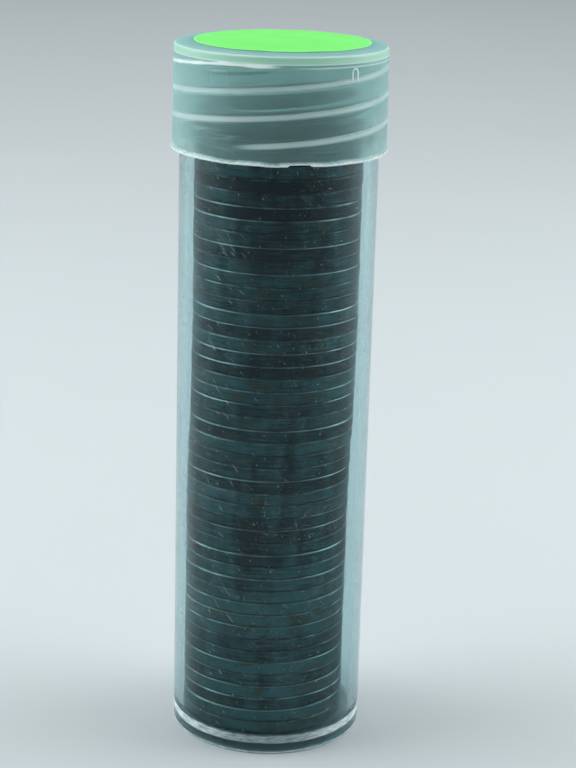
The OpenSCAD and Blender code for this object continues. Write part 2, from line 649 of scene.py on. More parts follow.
@dataclass(frozen=True)
class MilkyPolyethylene:
    """Translucent cap plastic, whiter where it is thick or stressed, with painted highlight lines, painted
    glows on its ridges and panel band, and the label's painted reflection and shadow on its top.
    """

    milk: Colour = (0.45, 0.72, 0.70)
    # White of stressed plastic, also for the painted highlight lines.
    stress_white_and_highlight: Colour = (0.93, 0.97, 0.96)
    # Greenish white of the panel's band, tinted as if lit through by the label.
    panel_glow: Colour = (0.58, 0.84, 0.70)
    top: Colour = (0.31, 0.54, 0.58)
    # Painted green reflection and shadow of the label on the panel's top.
    label_reflection_and_shadow: Colour = (0.16, 0.50, 0.24)
    seen_through: Colour = (0.90, 0.96, 0.955)
    black: Colour = (0.0, 0.0, 0.0)
    # Painted glow of the panel's band.
    panel_painted_glow: Colour = (0.05, 0.105, 0.065)
    # Painted glow of the thread ridges.
    ridge_painted_glow: Colour = (0.14, 0.165, 0.16)
    # Painted glow of the highlight lines.
    corner_painted_glow: Colour = (0.30, 0.35, 0.34)
    thin: float = 0.20
    cloud: float = 0.42
    frost: float = 0.27
    soft_refraction: float = 1.18
    flow: Pattern = Pattern((0.12, 0.12, 1.5), detail=3.0)
    clouds: Pattern = Pattern(scale=0.35)
    grain: Pattern = Pattern(scale=9.0, detail=1.0)
    rubs: Pattern = Pattern((0.25, 0.25, 7.0), (3.0, -4.0, 0.0), span=(0.62, 0.72))

    def build(self) -> bpy.types.Material:
        """Makes the material.

        Returns:
            The material.
        """
        material, tree = Tree.for_material("milky_polyethylene")
        frayed, panel, top, corner = (tree.attribute(n) for n in ("frayed", "panel", "top", "corner"))
        patterns = (self.flow, self.clouds, self.grain, self.rubs)
        flow, clouds, grain, rubs = (pattern.on(tree) for pattern in patterns)
        edge_on = tree.number("ShaderNodeLayerWeight", {}, {"Blend": 0.5}, "Facing") ** 2.0
        # Thread ridges, and their bright bands painted on the outer wall.
        seen_ridge = tree.attribute("ridge").eased(0.40, 0.90) + 0.40 * tree.attribute("outer_ridge")
        # Whiteness of ridges and frayed lip, and the painted highlight lines.
        white = (seen_ridge + frayed + corner).at_most(1.0)
        milk = (
            self.thin
            + 0.08 * (flow - 0.5)
            + 0.08 * (clouds - 0.5)
            + 0.05 * rubs
            + 0.78 * white
            + 0.46 * panel
            + 0.25 * top
            + 0.21 * tree.attribute("shoulder")
            + 0.37 * edge_on
        )
        # The label's painted reflection and shadow on the panel's top.
        ring = tree.mixed(tree.attribute("near_label"), self.top, self.label_reflection_and_shadow)
        plain = tree.mixed(top, tree.mixed(panel, self.milk, self.panel_glow), ring)
        normal = tree.bump(0.010 * flow + 0.004 * grain + 0.03 * frayed * grain - 0.002 * rubs)
        # Painted glow on the panel's band, not on its top.
        lit_panel = tree.mixed(panel * (1 - top), self.black, self.panel_painted_glow)
        body = tree.shader(
            "Principled",
            {
                "Base Color": tree.mixed(white, plain, self.stress_white_and_highlight),
                "Roughness": 0.36 + 0.10 * clouds + 0.25 * frayed,
                "IOR": 1.5,
                # Painted glows on the panel band, the ridges and the highlight lines.
                "Emission Color": tree.mixed(
                    corner, tree.mixed(white, lit_panel, self.ridge_painted_glow), self.corner_painted_glow
                ),
                "Emission Strength": 1.0,
                "Normal": normal,
            },
        )
        glows = [
            tree.shader("Translucent", {"Color": colour, "Normal": normal})
            for colour in (self.milk, self.panel_glow, self.stress_white_and_highlight)
        ]
        glow = tree.blend(white, tree.blend(panel, glows[0], glows[1]), glows[2])
        cloudy = tree.blend(self.cloud, body, glow)
        frosted = tree.shader(
            "Principled",
            {
                "Base Color": self.seen_through,
                "Roughness": self.frost,
                "IOR": self.soft_refraction,
                "Transmission Weight": 1.0,
                "Normal": normal,
            },
        )
        share = milk.at_most(0.96).at_least(0.05)
        open_wall = tree.shader("Transparent", {"Color": self.seen_through})
        wall = tree.blend(share, frosted, cloudy)
        tree.surface(tree.lit_through(wall, tree.blend(share, open_wall, cloudy)))
        return material


@dataclass(frozen=True)
class BrightPaper:
    """Fluorescent green paper with fibres."""

    green: Colour = (0.130, 0.60, 0.100)
    faded: Colour = (0.160, 0.64, 0.145)
    edge: Colour = (0.34, 0.78, 0.33)
    glow: Colour = (0.10, 0.46, 0.07)
    edge_glow: Colour = (0.16, 0.50, 0.16)
    fibres: Pattern = Pattern((1.0, 0.35, 1.0), (0.0, 0.0, 25.0), 7.0, 3.0)
    crossed: Pattern = Pattern((0.35, 1.0, 1.0), (0.0, 0.0, -12.0), 7.0, 3.0)
    clouds: Pattern = Pattern(scale=0.16)

    def build(self) -> bpy.types.Material:
        """Makes the material.

        Returns:
            The material.
        """
        material, tree = Tree.for_material("bright_paper")
        fibres, crossed, clouds = (p.on(tree) for p in (self.fibres, self.crossed, self.clouds))
        rim = tree.attribute("rim")
        tone = (0.55 * clouds + 0.30 * fibres + 0.15 * crossed).eased(0.30, 0.70)
        body = tree.shader(
            "Principled",
            {
                "Base Color": tree.mixed(rim, tree.mixed(tone, self.green, self.faded), self.edge),
                "Roughness": 0.62 + 0.2 * fibres,
                "Specular IOR Level": 0.25,
                "Emission Color": tree.mixed(rim, self.glow, self.edge_glow),
                "Emission Strength": 0.15,
                "Normal": tree.bump(0.012 * fibres + 0.012 * crossed + 0.03 * clouds),
            },
        )
        tree.surface(body)
        return material


@dataclass(frozen=True)
class TonedSteel:
    """Dark toned steel of cents: streaks, stains, pits, bright wear with painted highlights on the upper
    edges, painted shade in the gaps between coins, and the lower coins painted paler as a reflection of the
    floor.
    """

    slate: Colour = (0.002, 0.011, 0.014)
    pale: Colour = (0.036, 0.114, 0.125)
    rust: Colour = (0.042, 0.054, 0.034)
    # Bright colour of wear and of the painted edge highlights.
    worn: Colour = (0.32, 0.42, 0.42)
    grazing: Colour = (0.35, 0.42, 0.43)
    # Dark colour of pits and of the painted gap shade.
    pit_and_gap_shade_tone: Colour = (0.004, 0.009, 0.010)
    # Heights over which the lower coins are painted paler, as a painted reflection of the floor.
    painted_floor_reflection: Point = (36.0, 22.0)
    drawn: Pattern = Pattern((0.35, 0.35, 9.0), detail=3.0)
    wiped: Pattern = Pattern((0.6, 0.6, 0.09))
    blotches: Pattern = Pattern((1.0, 1.0, 1.6), scale=0.42, detail=4.0, rough=0.6)
    stains: Pattern = Pattern((1.0, 1.0, 2.2), (11.0, 7.0, 40.0), 0.33, 3.0, 0.6)
    pits: Pattern = Pattern(scale=3.4, span=(0.64, 0.72))
    nicks: Pattern = Pattern((7.0, 7.0, 1.1), (18.0, -28.0, 0.0), span=(0.72, 0.77))
    rubs: Pattern = Pattern((4.0, 4.0, 0.5), (28.0, 36.0, 0.0), span=(0.60, 0.72))

    def build(self) -> bpy.types.Material:
        """Makes the material.

        Returns:
            The material.
        """
        material, tree = Tree.for_material("toned_steel")
        tone = tree.attribute("coin_tone")
        # Wear with painted edge highlights above zero, and painted gap shade below zero.
        wear = tree.attribute("worn")
        patterns = (self.drawn, self.wiped, self.blotches, self.stains, self.pits, self.nicks, self.rubs)
        drawn, wiped, blotches, stains, pits, nicks, rubs = (pattern.on(tree) for pattern in patterns)
        height = tree.number("ShaderNodeSeparateXYZ", {}, {0: tree.millimetres()}, 2)
        # Painted floor reflection: lower coins paler and with fewer edge highlights.
        low = height.eased(*self.painted_floor_reflection)
        mottle = 0.45 * blotches + 1.1 * (drawn - 0.5) + 0.9 * (wiped - 0.5) + 0.15 * rubs
        share = (0.72 * tone + mottle + 0.26 * low - 0.06).eased(0.20, 1.0)
        rusty = (stains + 0.25 * (tone - 0.5)).eased(0.52, 0.74)
        base = tree.mixed(0.75 * rusty, tree.mixed(share, self.slate, self.pale), self.rust)
        chance = (tone * 7.0).fraction()
        rubbed = 2.4 * (blotches - 0.46) + 0.70 * chance.eased(0.10, 0.95) - 0.15 * low
        rubbed = rubbed.at_least(0.10).at_most(1.0)
        # Painted edge highlight, with real wear on rims, relief and nicks.
        bright = (wear.at_least(0.0) * rubbed + 0.08 * nicks).at_most(1.0)
        # Painted shade in the gaps: on upper edges where they are not rubbed, and on lower edges.
        painted_gap_shade = 0.5 * wear.at_least(0.0) * (1 - rubbed) - 0.9 * wear.at_most(0.0)
        # Dark corrosion pits and the painted gap shade.
        pits_and_gap_shade = (0.8 * pits + painted_gap_shade).at_most(1.0)
        roughness = 0.36 + 0.18 * (blotches - 0.5) + 0.22 * rusty + 0.12 * (drawn - 0.5) - 0.08 * bright
        relief = 0.006 * drawn + 0.008 * wiped + 0.012 * blotches - 0.02 * pits - 0.008 * nicks
        body = tree.shader(
            "Principled",
            {
                "Base Color": tree.mixed(bright, tree.mixed(pits_and_gap_shade, base, self.pit_and_gap_shade_tone), self.worn),
                "Metallic": 0.92 - 0.5 * rusty.at_least(pits_and_gap_shade),
                "Roughness": roughness + 0.2 * pits_and_gap_shade,
                "Specular Tint": self.grazing,
                "Specular IOR Level": 0.2,
                "Normal": tree.bump(relief),
            },
        )
        tree.surface(body)
        return material


@dataclass(frozen=True)
class StudioFloor:
    """Plain pale matt floor."""

    pale: Colour = (0.50, 0.525, 0.53)
    dimmed: float = 0.97
    clouds: Pattern = Pattern(scale=0.02)

    def build(self) -> bpy.types.Material:
        """Makes the material.

        Returns:
            The material.
        """
        material, tree = Tree.for_material("studio_floor")
        dim = tuple(self.dimmed * x for x in self.pale)
        colour = tree.mixed(self.clouds.on(tree), self.pale, dim)
        tree.surface(
            tree.shader("Principled", {"Base Color": colour, "Roughness": 0.9, "Specular IOR Level": 0.1})
        )
        return material


@dataclass(frozen=True)
class Ridges:
    """Where a thread's ridges run on one wall, in millimetres and degrees."""

    wall: Wall
    first_angle: float
    first_z: float
    last_z: float
    run_in: float
    width: float
    height: float


@dataclass
class ScrewThread:
    """A screw thread that rises out of a round wall, in millimetres and degrees."""

    lead: float = 6.0
    starts: int = 2

    def tree(self) -> GeometryTree:
        """Makes the tree that raises the ridges where the mesh is marked as threaded.

        Returns:
            The tree.
        """
        lengths = ("First Height", "Last Height", "Run In", "Ridge Width", "Ridge Height")
        numbers = ("Lead", "Starts", "First Angle", "Side", *lengths)
        tree = GeometryTree(
            "screw_thread", {**dict.fromkeys(numbers, "NodeSocketFloat"), "Material": "NodeSocketMaterial"}
        )
        place = tree.node("GeometryNodeInputPosition").outputs[0]
        parts = tree.node("ShaderNodeSeparateXYZ", {}, {0: place}).outputs
        across, along, height = (Number(tree, s) for s in parts)
        angle = across.math("ARCTAN2", along, across)
        pitch = tree.given("Lead") / tree.given("Starts")
        turns = (angle - tree.given("First Angle")) / (2 * math.pi)
        rises = (height - tree.given("First Height")) / pitch - turns * tree.given("Starts")
        off = (rises - rises.rounded()) * pitch
        centre = height - off
        shape = (1.7 - 1.7 * abs(off) / (tree.given("Ridge Width") * 0.5)).eased(0.0, 1.0)
        begin = ((centre - tree.given("First Height")) / tree.given("Run In")).eased(0.0, 1.0)
        end = ((tree.given("Last Height") - centre) / tree.given("Run In")).eased(0.0, 1.0)
        whole = tree.pick(tree.entry.outputs, "Geometry")
        stored = tree.store(whole, "ridge", shape * begin * end * tree.carried("threaded"), "POINT")
        flat = tree.node("ShaderNodeCombineXYZ", {}, {0: across, 1: along})
        outwards = tree.node("ShaderNodeVectorMath", {"operation": "NORMALIZE"}, {0: flat.outputs[0]})
        out = tree.carried("ridge") * tree.given("Ridge Height")
        move = tree.node(
            "ShaderNodeVectorMath",
            {"operation": "SCALE"},
            {0: outwards.outputs[0], "Scale": out * tree.given("Side")},
        )
        moved = tree.node("GeometryNodeSetPosition", {}, {"Geometry": stored, "Offset": move.outputs[0]})
        tree.end(moved.outputs[0])
        return tree

    def cut(
        self, piece: bpy.types.Object, ridges: Ridges, material: bpy.types.Material
    ) -> bpy.types.Object:
        """Raises the thread on a piece.

        Args:
            piece: The piece, with its wall marked as threaded.
            ridges: Where the ridges run.
            material: The piece's material.

        Returns:
            The piece.
        """
        values = {
            "Lead": self.lead * MM,
            "Starts": float(self.starts),
            "First Height": ridges.first_z * MM,
            "Last Height": ridges.last_z * MM,
            "First Angle": math.radians(ridges.first_angle),
            "Run In": ridges.run_in * MM,
            "Ridge Width": ridges.width * MM,
            "Ridge Height": ridges.height * MM,
            "Side": ridges.wall.value,
            "Material": material,
        }
        return self.tree().applied(piece, values)


@dataclass
class ClearTube:
    """The clear tube: floor, foot ring, wall, shoulder and threaded neck."""

    tube_r: float = 11.25
    bore_r: float = 10.15
    neck_r: float = 10.75
    floor_z: float = 2.0
    shoulder_z: float = 69.74
    mouth_z: float = 80.64
    mouth_edge: float = 0.22
    foot_edge: float = 0.2
    recess_r: float = 10.0
    recess: float = 1.0
    gate_r: float = 0.52
    gate: float = 0.25
    corner: float = 0.12
    ring_step: float = 0.11
    segments: int = 256
    soft: float = 0.08
    flat_step: float = 1.5
    wall_step: float = 2.0
    foot_step: float = 0.12
    wall_slack: float = 0.002
    plate_low: Point = (0.26, 0.42)
    plate_high: Point = (0.22, 0.40)
    # Strength of the painted glow on the floor plate's band, at the front and added towards the sides.
    plate_glow_front: float = 0.52
    plate_glow_sides: float = 0.43
    ridges: Ridges = Ridges(Wall.OUTWARDS, 142.0, 71.15, 79.35, 0.5, 1.5, 0.16)

    def outline(self) -> list[Point]:
        """The tube's closed outline, from the axis on the underside and round to the bore's floor.

        Returns:
            Radii and heights.
        """
        soft = self.soft
        rim_z = self.mouth_z - self.mouth_edge
        return [
            (0.0, self.recess - self.gate),
            (self.gate_r * 0.8, self.recess - self.gate),
            (self.gate_r, self.recess),
            *run((self.gate_r * 1.5, self.recess), (self.recess_r - 4 * soft, self.recess), self.flat_step),
            *arc((self.recess_r - 2.2 * soft, self.recess - soft), soft, 90.0, -85.0, 3),
            *arc((self.recess_r + soft, soft), soft, 175.0, 95.0, 3),
            *arc((self.tube_r - self.foot_edge, self.foot_edge), self.foot_edge, -90.0, 90.0, 6),
            *run((self.tube_r, self.foot_edge + 0.15), (self.tube_r, self.floor_z + 0.65), self.foot_step),
            *run((self.tube_r, self.floor_z + 1.5), (self.tube_r, self.shoulder_z - 0.3), self.wall_step),
            *arc((self.tube_r - soft, self.shoulder_z - soft), soft, 0.0, 90.0, 3),
            *run((self.neck_r, self.shoulder_z), (self.neck_r, rim_z), self.ring_step),
            *arc((self.neck_r - self.mouth_edge, rim_z), self.mouth_edge, 9.0, 81.0),
            *arc((self.bore_r + self.mouth_edge, rim_z), self.mouth_edge, 90.0, 90.0),
            *run(
                (self.bore_r, self.mouth_z - 2 * self.mouth_edge),
                (self.bore_r, self.floor_z + 3 * self.corner),
                self.wall_step,
            ),
            *arc((self.bore_r - self.corner, self.floor_z + self.corner), self.corner, 0.0, -90.0),
            *run((self.bore_r - 3 * self.corner, self.floor_z), (0.0, self.floor_z), self.flat_step),
        ]

    def build(self, thread: ScrewThread, clear: bpy.types.Material) -> bpy.types.Object:
        """Makes the tube.

        Args:
            thread: The screw thread that the neck and the cap share.
            clear: The tube's material.

        Returns:
            The tube.
        """
        mesh = turned_mesh("clear_tube", self.outline(), self.segments)
        on_neck = self.shoulder_z + self.ring_step
        slack = self.wall_slack
        mark(mesh, "threaded", lambda p: float(abs(p.xy.length - self.neck_r) < slack and p.z > on_neck))
        # Scuffs at the foot's edge, and the painted glow on the floor plate's band.
        mark(mesh, "scuffed", self.scuffed)
        mark(mesh, "foot", lambda p: 1 - eased(p.z, self.floor_z - 0.1, self.floor_z + 0.4))
        piece = shown("clear_tube", mesh)
        thread.cut(piece, self.ridges, clear)
        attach(piece, Body.TUBE.value)
        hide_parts("tube_body")
        return piece

    def scuffed(self, place: Vector) -> float:
        """How much a place is scuffed, at the foot's outer edge, and how much painted glow the band where the
        floor plate shows gets, more at the sides.

        Args:
            place: A place in millimetres.

        Returns:
            The share, from 0 to 1.
        """
        outer = eased(place.xy.length, self.tube_r - 2 * self.foot_edge, self.tube_r - self.foot_edge)
        edge = 1 - eased(place.z, self.foot_edge * 0.9, self.foot_edge * 2)
        plate = eased(place.z, *(self.recess + x for x in self.plate_low))
        plate *= 1 - eased(place.z, *(self.floor_z + x for x in self.plate_high))
        sideways = abs(place.x) / place.xy.length if place.xy.length > 0 else 0.0
        return outer * max(edge, plate * (self.plate_glow_front + self.plate_glow_sides * eased(sideways, 0.25, 0.85)))


@dataclass
class ScrewCap:
    """The milky screw cap: panel, seal ring, drafted and threaded skirt, and a rough rolled lip."""

    panel_z: float = 80.69
    top_z: float = 81.59
    lip_z: float = 69.79
    inner_r: float = 11.25
    inner_lip_r: float = 11.42
    skirt_r: float = 11.95
    lip_r: float = 12.20
    lip_h: float = 0.5
    top_edge: float = 0.4
    inner_corner: float = 0.3
    seal_r: float = 9.87
    seal_w: float = 0.30
    seal_h: float = 0.55
    ring_step: float = 0.11
    segments: int = 320
    ridges: Ridges = Ridges(Wall.INWARDS, -131.0, 71.30, 81.10, 0.60, 0.86, 0.36)
    wall_step: float = 0.16
    panel_step: float = 0.07
    lip_round: float = 0.1
    wall_slack: float = 0.02
    wear_seed: int = 31
    wear_patches: int = 46
    lip_lift: float = 0.10
    lip_pull: float = 0.0045
    # Drop and width of the thread's bands painted on the outer wall.
    ridge_drop: float = 0.12
    ridge_glow: Point = (0.12, 0.42)
    # Width and strength of the thin painted highlight lines.
    line_glow: Point = (0.03, 0.10)
    line_share: float = 0.55
    chip_angle: float = -79.0
    chip_w: float = 2.5
    chip_h: float = 0.22

    def outline(self) -> list[Point]:
        """The cap's closed outline, from the axis under the panel, down the skirt and over the top.

        Returns:
            Radii and heights.
        """
        half = self.seal_w / 2
        edge = self.inner_corner
        slope = (self.inner_lip_r - self.inner_r) / (self.panel_z - self.lip_z)
        under_corner = self.inner_r + slope * edge
        lip_top = self.lip_z + self.lip_h
        return [
            (0.0, self.panel_z),
            *run((1.0, self.panel_z), (self.seal_r - half, self.panel_z), 1.6),
            *arc((self.seal_r, self.panel_z - self.seal_h + half), half, 180.0, 180.0),
            *run((self.seal_r + half, self.panel_z), (self.inner_r - edge, self.panel_z), 0.4),
            *arc((self.inner_r - edge, self.panel_z - edge), edge, 80.0, -80.0, 5)[:-1],
            *run((under_corner, self.panel_z - edge), (self.inner_lip_r, self.lip_z), self.ring_step),
            *run((self.inner_lip_r + 0.2, self.lip_z), (self.lip_r - 0.12, self.lip_z), 0.2),
            *arc((self.lip_r - self.lip_round, self.lip_z + self.lip_round), self.lip_round, -60.0, 60.0, 3),
            *run((self.lip_r - 0.005, self.lip_z + 0.2), (self.lip_r - 0.07, lip_top), 0.1),
            *run((self.lip_r - 0.12, lip_top + 0.12), (self.skirt_r, self.panel_z - 1.7), self.wall_step),
            *run((self.skirt_r, self.panel_z - 1.6), (self.skirt_r, self.panel_z + 0.3), self.panel_step),
            *arc((self.skirt_r - self.top_edge, self.top_z - self.top_edge), self.top_edge, 0.0, 90.0, 8),
            *run((self.skirt_r - 1.5 * self.top_edge, self.top_z), (8.2, self.top_z), 0.3),
            *run((7.5, self.top_z), (0.0, self.top_z), 1.5),
        ]

    def lip_wear(self) -> list[float]:
        """How rough the lip is at each step round it, from 0 to 1.

        Returns:
            The roughness by the step.
        """
        dice = random.Random(self.wear_seed)
        coarse = [dice.random() for _ in range(self.wear_patches)]
        fine = [dice.random() for _ in range(self.segments)]
        wear = []
        for k in range(self.segments):
            place = k * len(coarse) / self.segments
            first = coarse[int(place) % len(coarse)]
            second = coarse[(int(place) + 1) % len(coarse)]
            wear.append(0.6 * (first + (second - first) * eased(place % 1.0, 0.0, 1.0)) + 0.4 * fine[k])
        return wear

    def chip_depth(self, angle: float, wear: float) -> float:
        """How much of the lip is broken away at an angle.

        Args:
            angle: The angle in degrees.
            wear: The lip's roughness there.

        Returns:
            The height that is missing.
        """
        off = (angle - self.chip_angle + 180.0) % 360.0 - 180.0
        distance = abs(math.radians(off)) * self.lip_r
        inside = 1 - eased(distance, self.chip_w / 2 - 0.15, self.chip_w / 2 + 0.1)
        return self.chip_h * inside * (0.8 + 0.2 * wear)

    def build(self, thread: ScrewThread, milky: bpy.types.Material) -> bpy.types.Object:
        """Makes the cap.

        Args:
            thread: The screw thread that the neck and the cap share.
            milky: The cap's material.

        Returns:
            The cap.
        """
        mesh = turned_mesh("cap_shell", self.outline(), self.segments)
        wear = self.lip_wear()

        def at_step(place: Vector) -> int:
            """The step round the lip that a place is nearest to."""
            return round(heading(place) / 360.0 * self.segments) % self.segments

        def rough_lip(place: Vector) -> Vector:
            """Lifts and pulls in the lip's lower edge.

            Args:
                place: A place in millimetres.

            Returns:
                Where it moves.
            """
            above = place.z - self.lip_z
            if above > self.lip_h:
                return place
            step = at_step(place)
            rough = wear[step]
            low = 1 - eased(above, 0.0, 0.35)
            lift = low * (self.lip_lift * rough + self.chip_depth(heading(place), rough))
            pull = 1 - self.lip_pull * wear[(step * 7) % self.segments] * (1 - eased(above, 0.3, self.lip_h))
            outside = place.xy.length > self.inner_lip_r + 0.3
            scale = pull if outside else 1.0
            return Vector((place.x * scale, place.y * scale, place.z + lift))

        def frayed(place: Vector) -> float:
            """How white the lip is.

            Args:
                place: A place in millimetres.

            Returns:
                The share, from 0 to 1.
            """
            above = place.z - self.lip_z
            rough = wear[at_step(place)]
            return (1 - eased(above, 0.12 + 0.25 * rough, 0.35 + 0.3 * rough)) * (0.75 + 0.25 * rough)

        def corner(place: Vector) -> float:
            """The painted highlight lines where the panel meets the skirt, thick on the left, and along the
            outer top edge.

            Args:
                place: A place in millimetres.

            Returns:
                The share, from 0 to 1.
            """
            angle = heading(place)
            if place.z > self.panel_z + 0.35:
                slant = (place.z - self.top_z) - (place.xy.length - self.skirt_r)
                outside = place.xy.length > self.skirt_r - self.top_edge * 1.2
                return 0.40 * (1 - eased(abs(slant), 0.04, 0.16)) if outside else 0.0
            if place.xy.length < self.inner_r - 0.45 or place.z < self.panel_z - 1.7:
                return 0.0
            outside = place.xy.length > self.inner_lip_r + 0.2
            past = (angle + 200.0) % 360.0 - 20.0
            left = 1 - eased(past, 80.0, 93.0)
            front = eased(math.cos(math.radians(angle + 25.0)), 0.3, 0.8)
            rise = thread.lead * (past - 49.0) / 360.0
            ridge_z = min(self.panel_z - 0.24, self.ridges.first_z + 1.5 * thread.lead + rise)
            swell = 0.03 * math.sin(angle * 0.35) + 0.05 * eased(past, 70.0, 82.0)
            thick = left * (1 - eased(abs(place.z - ridge_z), 0.10 + swell, 0.20 + swell))
            thick *= 0.5 + 0.5 * eased(past, -5.0, 40.0) if outside else 1.0
            thin = self.line_share * (1 - eased(abs(place.z - (self.panel_z - 0.02)), *self.line_glow))
            second = self.line_share * front * (1 - left)
            second *= 1 - eased(abs(place.z - (self.panel_z - 0.41)), *self.line_glow)
            return max(thick, thin, second)

        def shoulder(place: Vector) -> float:
            """How much milkier the cap is: its inner wall towards the top, and the panel.

            Args:
                place: A place in millimetres.

            Returns:
                The share, which may pass 1.
            """
            if place.xy.length > self.inner_lip_r + 0.1:
                return eased(place.z, self.panel_z - 0.6, self.panel_z)
            return 1.7 * eased(place.z, self.panel_z - 8.5, self.panel_z - 2.0)

        def outer_ridge(place: Vector) -> float:
            """How much of the inner thread's bright bands is painted on the outer wall, set a little lower.

            Args:
                place: A place in millimetres.

            Returns:
                The share, from 0 to 1.
            """
            if place.xy.length < self.inner_lip_r + 0.2:
                return 0.0
            pitch = thread.lead / thread.starts
            height = place.z - self.ridge_drop - self.ridges.first_z
            turns = (heading(place) - self.ridges.first_angle) / 360.0
            rises = height / pitch - turns * thread.starts
            off = (rises - round(rises)) * pitch
            begin = eased(height - off, 0.0, self.ridges.run_in)
            end = 1 - eased(place.z, self.panel_z - 1.6, self.panel_z - 0.8)
            return begin * end * (1 - eased(abs(off), *self.ridge_glow))

        reshape(mesh, rough_lip)
        rules = {
            "frayed": frayed,
            "panel": lambda p: eased(p.z, self.panel_z - 0.1, self.panel_z + 0.15),
            "shoulder": shoulder,
            # The thread's bright bands painted on the outer wall.
            "outer_ridge": outer_ridge,
            "top": lambda p: eased(p.z, self.top_z - 0.15, self.top_z - 0.02),
            # Painted highlight lines.
            "corner": corner,
            # The label's painted reflection and shadow.
            "near_label": self.painted_label_reflection(),
            "threaded": self.threaded,
        }
        for name, rule in rules.items():
            mark(mesh, name, rule)
        piece = shown("cap_shell", mesh)
        thread.cut(piece, self.ridges, milky)
        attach(piece, Body.CAP.value)
        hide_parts("screw_cap")
        return piece

    def painted_label_reflection(self) -> Callable[[Vector], float]:
        """How much of the label's painted green reflection and shadow the panel's top takes on, which is most
        at its front.

        Returns:
            The rule that gives it for a place.
        """
        low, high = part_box("cap_label")
        middle = ((low + high) / 2 / MM).xy
        label_r = (high.x - low.x) / 2 / MM

        def label_reflection_and_shadow(place: Vector) -> float:
            """The share at one place.

            Args:
                place: A place in millimetres.

            Returns:
                The share, from 0 to 1.
            """
            off = place.xy - middle
            front = 0.3 + 0.7 * eased(-off.y / label_r, 0.2, 0.9)
            return front * (1 - eased(off.length, label_r + 0.05, label_r + 0.75))

        return label_reflection_and_shadow

    def threaded(self, place: Vector) -> float:
        """Whether a place is on the skirt's inner wall, below the corner and above the lip.

        Args:
            place: A place in millimetres.

        Returns:
            1 where it is, and 0 elsewhere.
        """
        share = (self.panel_z - place.z) / (self.panel_z - self.lip_z)
        wall = self.inner_r + (self.inner_lip_r - self.inner_r) * share
        inside = abs(place.xy.length - wall) < self.wall_slack
        return float(inside and self.lip_z + 0.5 < place.z < self.panel_z - self.inner_corner)

    def mould_marks(self, milky: bpy.types.Material) -> bpy.types.Object:
        """Makes the small raised marks on the skirt: an arch and a faint square corner.

        Args:
            milky: The cap's material.

        Returns:
            The marks, as one piece.
        """
        arch = [(-50.1, 78.8), (-50.1, 79.6)]
        for turn in range(0, 181, 30):
            over = math.radians(turn)
            arch.append((-48.3 - 1.8 * math.cos(over), 79.7 + 0.4 * math.sin(over)))
        arch += [(-46.5, 79.6), (-46.5, 78.75)]
        square = [(-129.2, 78.15), (-129.0, 79.25), (-127.8, 79.6)]
        square += [(-119.4, 79.7), (-118.2, 79.45), (-118.0, 78.1)]
        work = bmesh.new()
        for route, thickness in ((arch, 0.08), (square, 0.05)):
            self.bead(work, route, thickness)
        mesh = bpy.data.meshes.new("mould_marks")
        work.to_mesh(mesh)
        work.free()
        face_outwards(mesh, 60.0)
        mark(mesh, "ridge", lambda p: 1.0 if p.x > 0 else 0.55)
        mesh.materials.append(milky)
        piece = shown("mould_marks", mesh)
        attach(piece, Body.CAP.value)
        return piece

    def bead(self, work: bmesh.types.BMesh, route: list[Point], thickness: float) -> None:
        """Adds a round bead along a route on the skirt's wall.

        Args:
            work: The mesh that it goes into.
            route: Angles in degrees and heights.
            thickness: The bead's radius.
        """
        sides = 8
        radius = self.skirt_r - 0.01
        rings = []
        for k, (angle, height) in enumerate(route):
            before = route[max(0, k - 1)]
            after = route[min(len(route) - 1, k + 1)]
            forward = Vector((math.radians(after[0] - before[0]) * radius, after[1] - before[1])).normalized()
            side = Vector((-forward.y, forward.x))
            ring = []
            for j in range(sides):
                turn = 2 * math.pi * j / sides
                reach = thickness * math.cos(turn)
                around = math.radians(angle) + reach * side.x / radius
                depth = radius + thickness * math.sin(turn)
                up = height + reach * side.y
                place = Vector((depth * math.cos(around), depth * math.sin(around), up))
                ring.append(work.verts.new(place * MM))
            rings.append(ring)
        for low, high in zip(rings, rings[1:]):
            for j in range(sides):
                work.faces.new((low[j], low[(j + 1) % sides], high[(j + 1) % sides], high[j]))
        work.faces.new(rings[0])
        work.faces.new(rings[-1])


@dataclass
class PaperLabel:
    """The round paper label stuck on the cap."""

    radius: float = 9.9
    low_z: float = 81.595
    top_z: float = 81.71
    ring_step: float = 0.55
    segments: int = 192
    cut_edge: float = 0.025

    def build(self, paper: bpy.types.Material) -> bpy.types.Object:
        """Makes the label.

        Args:
            paper: The label's material.

        Returns:
            The label.
        """
        low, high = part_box("cap_label")
        middle = (low + high) / 2 / MM
        edge = self.cut_edge
        outline = [
            *run((0.0, self.low_z), (self.radius - edge, self.low_z), self.ring_step),
            (self.radius, self.low_z + edge),
            *arc((self.radius - edge, self.top_z - edge), edge, 0.0, 90.0, 3),
            *run((self.radius - 0.2, self.top_z), (0.0, self.top_z), self.ring_step),
        ]
        mesh = turned_mesh("paper_label", outline, self.segments)

        def placed(place: Vector) -> Vector:
            """Sinks the top a little where the glue holds it, and moves the label to its place.

            Args:
                place: A place in millimetres.

            Returns:
                Where it moves.
            """
            top = eased(place.z, self.low_z + 0.05, self.top_z)
            sink = 0.018 * (1 + math.sin(place.x * 0.9 + 1.0) * math.cos(place.y * 0.7))
            sink += 0.012 * (1 + math.sin(place.x * 2.3 - place.y * 1.7))
            return Vector((place.x + middle.x, place.y + middle.y, place.z - top * sink))

        mark(mesh, "rim", lambda p: eased(p.xy.length, self.radius - 0.10, self.radius - 0.005))
        reshape(mesh, placed)
        mesh.materials.append(paper)
        piece = shown("paper_label", mesh)
        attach(piece, Body.CAP.value)
        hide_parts("cap_label")
        return piece


class Strike(Enum):
    """Which face of a coin carries a struck design."""

    NONE = 0
    UPPER = 1
    LOWER = 2


